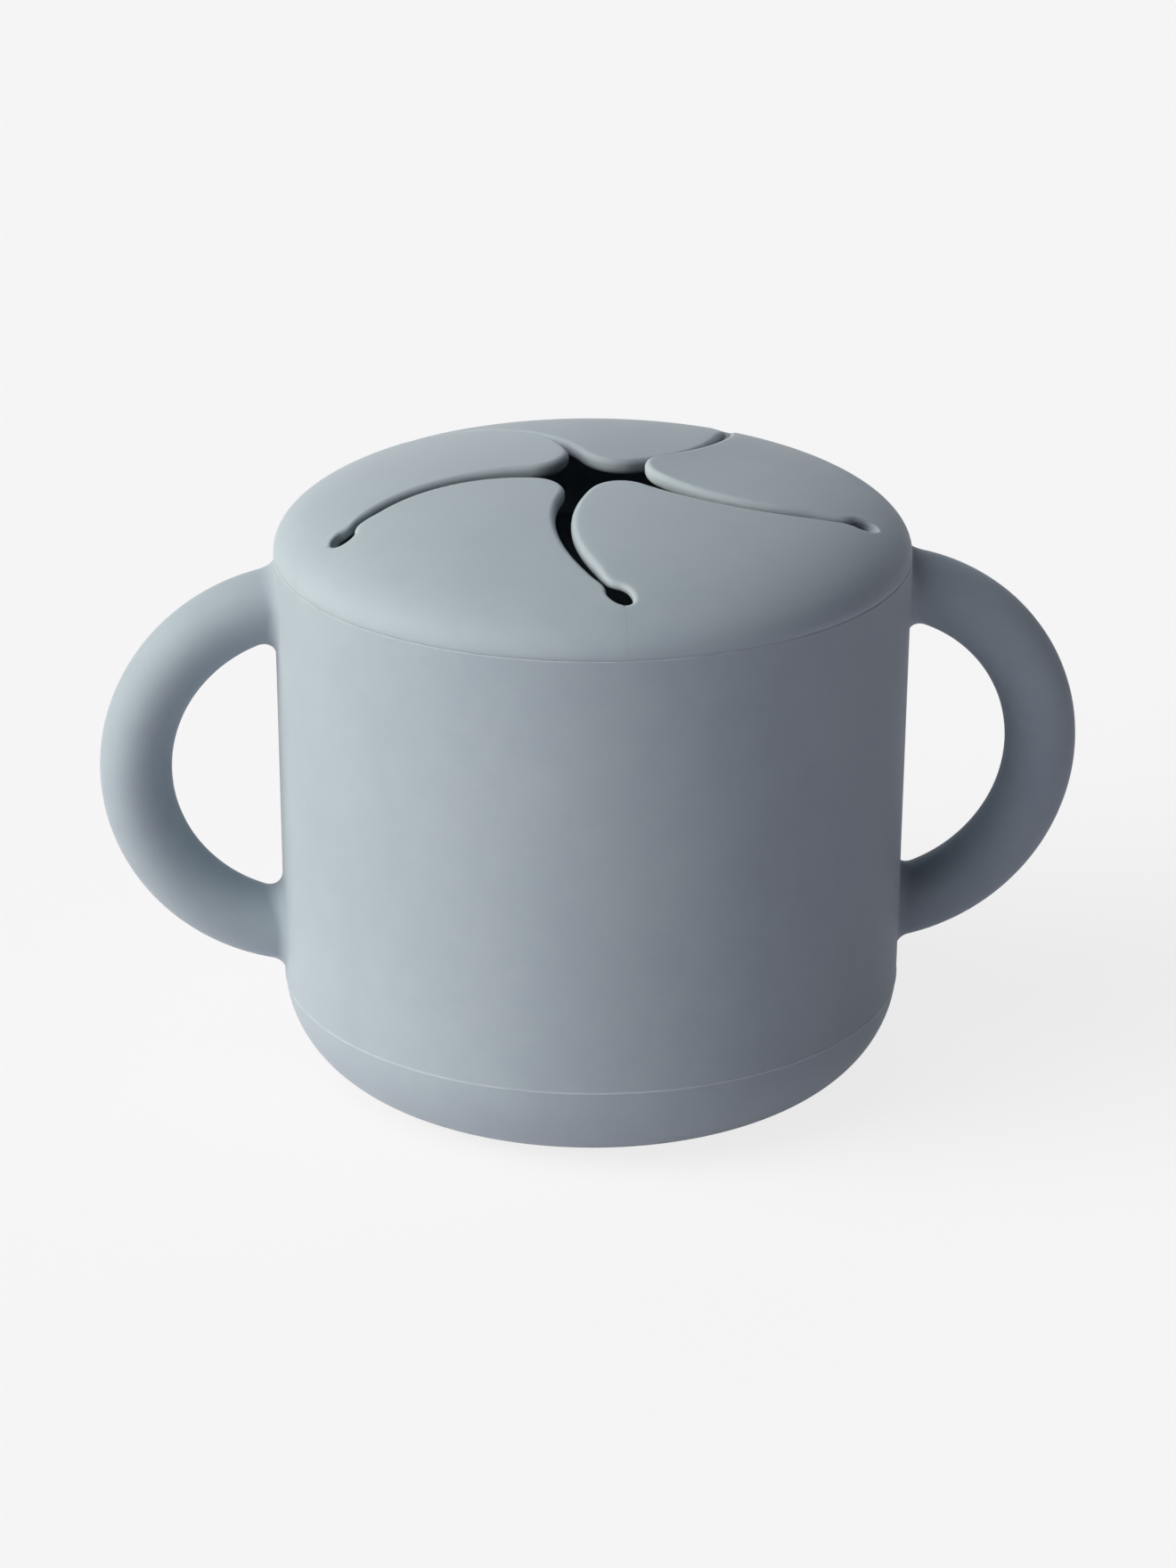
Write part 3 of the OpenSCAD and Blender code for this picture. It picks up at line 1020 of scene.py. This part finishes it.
def make_edge_wear_and_highlight():
    """Edges that hands and teeth reach go a little paler and smoother, unevenly; the paler colour
    also paints a highlight on edges that catch the light.
    """
    group, given, result = new_group(
        "rubbed_edge_and_painted_highlight",
        [("Place", "NodeSocketVector", None), ("Edge", "NodeSocketFloat", 0.0),
         ("Color", "NodeSocketColor", None), ("Roughness", "NodeSocketFloat", 0.5),
         ("Wear and highlight", "NodeSocketFloat", 0.5)],
        [("Color", "NodeSocketColor"), ("Roughness", "NodeSocketFloat")])
    uneven = noise(group, -900, 0, given.outputs["Place"], WEAR_SCALE, 3.0)
    patchy = remap(group, -700, 0, uneven, NOISE_LOW, NOISE_HIGH, 0.35, 1.0)
    on_edge = calculate(group, -550, 0, "MULTIPLY", given.outputs["Edge"], patchy)
    worn_and_highlit = calculate(group, -400, 0, "MULTIPLY", on_edge, given.outputs["Wear and highlight"])
    # Worn edges go paler, which also paints a highlight on them
    colour = mix_colour(group, 0, 100, worn_and_highlit, given.outputs["Color"], WORN_AND_HIGHLIGHT_COLOUR)
    group.links.new(colour, result.inputs["Color"])
    smoother = calculate(group, -200, -200, "MULTIPLY", worn_and_highlit, 0.3)
    roughness = calculate(group, 0, -200, "SUBTRACT", given.outputs["Roughness"], smoother)
    group.links.new(roughness, result.inputs["Roughness"])
    return group


MOULDED_SKIN = make_moulded_skin()
RUBBED_EDGE_AND_HIGHLIGHT = make_edge_wear_and_highlight()
# Soft silicone: little gloss, a faint bloom of dust, and light that goes a millimetre or so into it
SILICONE_SETTINGS = {
    "IOR": 1.41, "Specular IOR Level": 0.12, "Sheen Weight": 0.06, "Sheen Roughness": 0.45,
    "Subsurface Weight": 0.25, "Subsurface Radius": (1.0, 0.95, 0.9), "Subsurface Scale": 0.0014}
GRAIN_BUMP = {"Strength": 0.35, "Distance": 0.00003}


def linear(*srgb):
    return tuple(((c / 255 + 0.055) / 1.055) ** 2.4 for c in srgb) + (1,)


def silicone_material(name, pale, deep, gloss, wear_and_highlight):
    """Silicone between a pale and a deep colour. gloss is its roughness; the last argument is how
    much its edges go paler, partly wear and partly painted highlight.
    """
    material = bpy.data.materials.new(name)
    material.use_nodes = True
    tree = material.node_tree
    shader = tree.nodes["Principled BSDF"]
    for label, value in SILICONE_SETTINGS.items():
        shader.inputs[label].default_value = value
    rest = add_node(tree, "ShaderNodeAttribute", -1100, 0, attribute_name="rest_place")
    edge = add_node(tree, "ShaderNodeAttribute", -1100, -250, attribute_name="edge_wear_and_highlight_share")
    skin = add_node(tree, "ShaderNodeGroup", -800, 100, node_tree=MOULDED_SKIN)
    skin.inputs["Pale"].default_value = pale
    skin.inputs["Deep"].default_value = deep
    skin.inputs["Gloss"].default_value = gloss
    rubbed_and_highlit = add_node(tree, "ShaderNodeGroup", -500, 100, node_tree=RUBBED_EDGE_AND_HIGHLIGHT)
    rubbed_and_highlit.inputs["Wear and highlight"].default_value = wear_and_highlight
    bump = add_node(tree, "ShaderNodeBump", -300, -300)
    for label, value in GRAIN_BUMP.items():
        bump.inputs[label].default_value = value
    for source, target in ((rest.outputs["Vector"], skin.inputs["Place"]),
                           (rest.outputs["Vector"], rubbed_and_highlit.inputs["Place"]),
                           (edge.outputs["Fac"], rubbed_and_highlit.inputs["Edge"]),
                           (skin.outputs["Color"], rubbed_and_highlit.inputs["Color"]),
                           (skin.outputs["Roughness"], rubbed_and_highlit.inputs["Roughness"]),
                           (rubbed_and_highlit.outputs["Color"], shader.inputs["Base Color"]),
                           (rubbed_and_highlit.outputs["Roughness"], shader.inputs["Roughness"]),
                           (skin.outputs["Height"], bump.inputs["Height"]),
                           (bump.outputs["Normal"], shader.inputs["Normal"])):
        tree.links.new(source, target)
    return material


CUP_SILICONE = silicone_material("cup_silicone", linear(153, 166, 174), linear(145, 157, 168),
                                 gloss=0.56, wear_and_highlight=0.38)
LID_SILICONE = silicone_material("lid_silicone", linear(157, 170, 178), linear(149, 162, 172),
                                 gloss=0.54, wear_and_highlight=0.1)


def dress(obj, material, edge_wear_and_highlight_share):
    """Gives a piece its material, its place at rest for the grain, and a mask of its worn edges,
    which go paler partly from wear and partly as a painted highlight.
    """
    obj.data.materials.clear()
    obj.data.materials.append(material)
    rest = obj.data.attributes.new("rest_place", "FLOAT_VECTOR", "POINT")
    rest.data.foreach_set("vector", (points(obj) * MM).ravel())
    edge = obj.data.attributes.new("edge_wear_and_highlight_share", "FLOAT", "POINT")
    edge.data.foreach_set("value", np.asarray(edge_wear_and_highlight_share, float))


def band(value, middle, half_width):
    """1 at the middle, fading to 0 at this distance from it."""
    return np.clip(1 - np.abs(value - middle) / half_width, 0, 1)


# The pieces; the cup and the plug each on its body

cup = make_cup()
at = points(cup)
# The lip and the parting line go paler: partly wear, partly a painted highlight where their edges
# catch the light
worn_and_highlit = np.maximum(band(at[:, 2], CUP_H, LIP_WEAR_AND_HIGHLIGHT), band(at[:, 2], PARTING_Z, PARTING_WEAR_AND_HIGHLIGHT))
dress(cup, CUP_SILICONE, worn_and_highlit * (axis_distance(at) > OUTSIDE_R))
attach(cup, "cup")
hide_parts("cup")

plug = make_plug()
at = points(plug)
worn_and_highlit = np.maximum(band(at[:, 2], BEAD_Z[0], BEAD_WEAR), band(at[:, 2], BEAD_Z[1], BEAD_WEAR))
dress(plug, LID_SILICONE, worn_and_highlit * (axis_distance(at) > PLUG_R + 0.1))
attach(plug, "lid")
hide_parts("lid_rim")

master = make_sector()
at = points(master)
# The petals' edges along the slits go paler: partly wear, partly a painted highlight on their
# rounds
worn_and_highlit = np.clip(1 - slit_distance(at[:, 0], at[:, 1]) / SLIT_WEAR_AND_HIGHLIGHT, 0, 1)
for k in range(1, 6):
    petal = make_petal(k, master)
    dress(petal, LID_SILICONE, worn_and_highlit)
    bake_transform(petal)
    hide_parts(f"petal_{k}")
bpy.data.objects.remove(master)


# The camera, fitted to the outlines in the photo

YAW = math.radians(5.876)
ELEVATION = math.radians(22.139)
ROLL = math.radians(0.255)
DISTANCE = 713.48
AIM = (-0.533, 0.0, 41.661)
FOCAL_PX = 5572.87
LONG_SIDE_PX = 1760
SENSOR_MM = 36


def turned(v):
    """From the camera's axes, where it looks along +Y, to the object's axes."""
    c, s = math.cos(-YAW), math.sin(-YAW)
    return Vector((v[0] * c - v[1] * s, v[0] * s + v[1] * c, v[2]))


def make_camera():
    data = bpy.data.cameras.new("camera")
    data.sensor_fit = "AUTO"
    data.sensor_width = SENSOR_MM
    data.lens = SENSOR_MM * FOCAL_PX / LONG_SIDE_PX
    data.clip_start = 0.01
    data.clip_end = 20
    camera = bpy.data.objects.new("camera", data)
    bpy.context.collection.objects.link(camera)
    back = Vector((0, -math.cos(ELEVATION), math.sin(ELEVATION)))
    up = Vector((0, math.sin(ELEVATION), math.cos(ELEVATION)))
    right = Vector((1, 0, 0))
    c, s = math.cos(ROLL), math.sin(ROLL)
    right, up = c * right + s * up, -s * right + c * up
    position = Vector(AIM) + DISTANCE * back
    axes = Matrix((turned(right), turned(up), turned(back))).transposed()
    camera.matrix_world = Matrix.Translation(turned(position) * MM) @ axes.to_4x4()
    bpy.context.scene.camera = camera


make_camera()


# Floor, lamps and world

FLOOR_SIDE_M = 8
FLOOR_COLOUR = (0.85, 0.815, 0.9, 1)
# How pale floor and world look where they are seen, and how much of the floor's shade shows there
FLOOR_SEEN = 0.96
SHADOW_SHARE = 0.16
WORLD_LIGHT = 0.01
# Soft lamps far away: the direction each stands in, its strength, how wide it looks, its colour
LAMPS = {
    "key_left": ((-1, -0.2, 0.35), 3.76, 50, (1.0, 0.93, 0.785)),
    "soft_high_left": ((-0.6, -0.2, 0.9), 1.36, 50, (0.93, 0.92, 1.0)),
    "fill_front_left": ((-0.8, -0.8, 0.5), 0.33, 50, (0.88, 0.96, 1.0)),
    "soft_behind": ((0.0, 1.0, 0.85), 0.3, 50, (0.86, 0.93, 1.0)),
    "soft_low_behind": ((0.0, 1.0, 0.3), 0.12, 40, (1, 1, 1))}


def seen_directly(tree, x, y):
    """1 where the camera, a reflection or glass looks at this, 0 where it only gives light."""
    ray = add_node(tree, "ShaderNodeLightPath", x, y)
    seen = calculate(tree, x + 300, y, "MAXIMUM",
                     ray.outputs["Is Camera Ray"], ray.outputs["Is Glossy Ray"])
    return calculate(tree, x + 450, y, "MAXIMUM", seen, ray.outputs["Is Transmission Ray"])


def make_floor_material():
    """Pale floor: it takes the shadow and gives its light, and is seen almost evenly pale."""
    material = bpy.data.materials.new("floor_pale")
    material.use_nodes = True
    tree = material.node_tree
    shader = tree.nodes["Principled BSDF"]
    shader.inputs["Base Color"].default_value = FLOOR_COLOUR
    shader.inputs["Roughness"].default_value = 0.9
    shader.inputs["Specular IOR Level"].default_value = 0.0
    even = add_node(tree, "ShaderNodeEmission", -200, -400)
    even.inputs["Color"].default_value = (FLOOR_SEEN, FLOOR_SEEN, FLOOR_SEEN, 1)
    share = calculate(tree, -200, 200, "MULTIPLY",
                      seen_directly(tree, -800, 200), 1 - SHADOW_SHARE)
    blend = add_node(tree, "ShaderNodeMixShader", 300, 0)
    tree.links.new(share, blend.inputs["Fac"])
    tree.links.new(shader.outputs["BSDF"], blend.inputs[1])
    tree.links.new(even.outputs["Emission"], blend.inputs[2])
    tree.links.new(blend.outputs["Shader"], tree.nodes["Material Output"].inputs["Surface"])
    return material


def make_world():
    """Almost no light of its own, but pale where it is looked at, as the floor is."""
    world = bpy.data.worlds.new("studio")
    world.use_nodes = True
    tree = world.node_tree
    background = tree.nodes["Background"]
    background.inputs["Color"].default_value = (1, 1, 1, 1)
    strength = remap(tree, -200, -200, seen_directly(tree, -900, -200),
                     0, 1, WORLD_LIGHT, FLOOR_SEEN)
    tree.links.new(strength, background.inputs["Strength"])
    bpy.context.scene.world = world


def add_sun(name, direction, strength, width, colour):
    data = bpy.data.lights.new(name, "SUN")
    data.energy = strength
    data.angle = math.radians(width)
    data.color = colour
    lamp = bpy.data.objects.new(name, data)
    bpy.context.collection.objects.link(lamp)
    lamp.rotation_mode = "QUATERNION"
    lamp.rotation_quaternion = Vector(direction).to_track_quat("Z", "Y")


deselect_everything()
bpy.ops.mesh.primitive_plane_add(size=FLOOR_SIDE_M, location=(0, 0, 0))
floor = bpy.context.object
floor.name = "floor"
floor.data.materials.append(make_floor_material())

for name, lamp in LAMPS.items():
    add_sun(name, *lamp)
make_world()

bpy.context.scene.view_settings.view_transform = "Standard"
